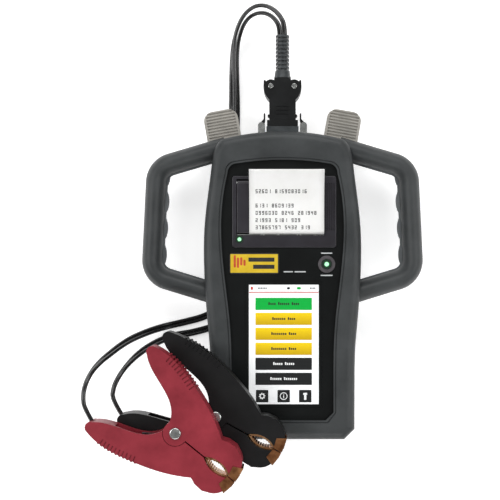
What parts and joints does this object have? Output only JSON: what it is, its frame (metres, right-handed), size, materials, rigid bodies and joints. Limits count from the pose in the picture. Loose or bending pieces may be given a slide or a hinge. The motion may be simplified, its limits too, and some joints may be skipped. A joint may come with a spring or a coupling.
{
  "type": "handheld battery and charging system tester",
  "caption": "Handheld battery tester in a rubber boot with two side handles, a touch screen, a panel printer and plugged leads with spring clamps.",
  "frame": {"origin": "on the back plane the tester lies on, on its centre line, halfway along the boot", "axes": "+Z out of the face, +Y towards the connector end, +X to the right of the face"},
  "size_m": [0.2589, 0.3738, 0.0937],
  "materials": {
    "boot_rubber": "satin",
    "grip_rubber": "satin",
    "case_plastic": "satin",
    "printer_plastic": "satin",
    "hook_plastic": "satin",
    "plug_plastic": "satin",
    "bright_steel": "satin",
    "contact_brass": "satin",
    "screen_glass": "gloss",
    "button_green": "gloss",
    "led_green": "gloss",
    "badge_gold": "satin",
    "board_green": "satin",
    "cell_foil": "satin",
    "platen_rubber": "matte",
    "paper_white": "matte",
    "core_card": "matte",
    "red_plastic": "satin",
    "black_plastic": "satin",
    "copper_plate": "satin",
    "lead_pvc": "gloss"
  },
  "bodies": {
    "root": {"badge_plate": "badge_gold", "battery_cells": "cell_foil", "battery_contacts": "contact_brass", "battery_door": "case_plastic", "black_clamp_lower": "black_plastic", "black_clamp_rivet": "bright_steel", "black_clamp_spring": "bright_steel", "black_jaw_lower": "copper_plate", "black_lead": "lead_pvc", "buzzer": "plug_plastic", "case_screws": "bright_steel", "display_board": "board_green", "display_module": "bright_steel", "door_hinge_pin": "bright_steel", "front_shell": "case_plastic", "latch_brackets": "bright_steel", "left_grip_back": "grip_rubber", "main_board": "board_green", "plug_contacts": "contact_brass", "plug_hood_front": "plug_plastic", "plug_hood_rear": "plug_plastic", "plug_screws": "bright_steel", "power_ring": "plug_plastic", "print_head": "plug_plastic", "print_motor": "bright_steel", "printer_bezel": "printer_plastic", "printer_housing": "printer_plastic", "rear_shell": "case_plastic", "red_clamp_lower": "red_plastic", "red_clamp_rivet": "bright_steel", "red_clamp_spring": "bright_steel", "red_jaw_lower": "copper_plate", "red_lead": "lead_pvc", "right_grip_back": "grip_rubber", "rubber_boot": "boot_rubber", "screen_frame": "case_plastic", "socket_contacts": "contact_brass", "socket_flange": "bright_steel", "socket_shell": "plug_plastic", "strain_relief": "boot_rubber", "tear_bar": "bright_steel", "touch_screen": "screen_glass"},
    "printer_door": {"printer_door": "printer_plastic", "paper_strip": "paper_white"},
    "platen": {"platen_roller": "platen_rubber"},
    "paper_roll": {"paper_roll": "paper_white", "paper_core": "core_card"},
    "feed_button": {"feed_button": "button_green", "feed_led": "led_green"},
    "power_button": {"power_button": "button_green", "power_led": "led_green"},
    "left_latch": {"left_latch": "plug_plastic"},
    "right_latch": {"right_latch": "plug_plastic"},
    "left_hook": {"left_hook": "hook_plastic"},
    "right_hook": {"right_hook": "hook_plastic"},
    "red_clamp_lever": {"red_clamp_upper": "red_plastic", "red_jaw_upper": "copper_plate"},
    "black_clamp_lever": {"black_clamp_upper": "black_plastic", "black_jaw_upper": "copper_plate"}
  },
  "joints": [
    {"name": "printer_door_hinge", "type": "hinge", "parent": "root", "child": "printer_door", "pos_m": [0, 0.0789, 0.045], "axis": [-1, 0, 0], "range_deg": [0, 100], "deforming": ["paper_strip"]},
    {"name": "platen_spin", "type": "hinge", "parent": "printer_door", "child": "platen", "pos_m": [0, 0.0444, 0.0396], "axis": [1, 0, 0], "continuous": true},
    {"name": "paper_roll_spin", "type": "hinge", "parent": "root", "child": "paper_roll", "pos_m": [0, 0.062, 0.021], "axis": [1, 0, 0], "continuous": true},
    {"name": "feed_button_press", "type": "slide", "parent": "root", "child": "feed_button", "axis": [0, 0, -1], "range_m": [0, 0.0006], "stiffness_N_per_m": 300, "springref_m": -0.001},
    {"name": "power_button_press", "type": "slide", "parent": "root", "child": "power_button", "axis": [0, 0, -1], "range_m": [0, 0.0008], "stiffness_N_per_m": 300, "springref_m": -0.001},
    {"name": "left_latch_hinge", "type": "hinge", "parent": "root", "child": "left_latch", "pos_m": [-0.0164, 0.125, 0.03], "axis": [0, 0, 1], "range_deg": [0, 55]},
    {"name": "right_latch_hinge", "type": "hinge", "parent": "root", "child": "right_latch", "pos_m": [0.0164, 0.125, 0.03], "axis": [0, 0, -1], "range_deg": [0, 55]},
    {"name": "left_hook_slide", "type": "slide", "parent": "root", "child": "left_hook", "axis": [-0.1736, 0.9848, 0], "range_m": [-0.012, 0]},
    {"name": "right_hook_slide", "type": "slide", "parent": "root", "child": "right_hook", "axis": [0.1736, 0.9848, 0], "range_m": [-0.012, 0]},
    {"name": "red_clamp_hinge", "type": "hinge", "parent": "root", "child": "red_clamp_lever", "pos_m": [-0.0778, -0.1075, 0.0824], "axis": [0, 0, 1], "range_deg": [0, 26], "stiffness_Nm_per_rad": 1.2, "springref_deg": -17.19, "deforming": ["red_clamp_spring"]},
    {"name": "black_clamp_hinge", "type": "hinge", "parent": "root", "child": "black_clamp_lever", "pos_m": [-0.0499, -0.0984, 0.0598], "axis": [0, 0, 1], "range_deg": [0, 26], "stiffness_Nm_per_rad": 1.2, "springref_deg": -17.19, "deforming": ["black_clamp_spring"]}
  ],
  "couplings": [
    {"joint": "paper_roll_spin", "follows": "platen_spin", "ratio": -0.2133}
  ]
}
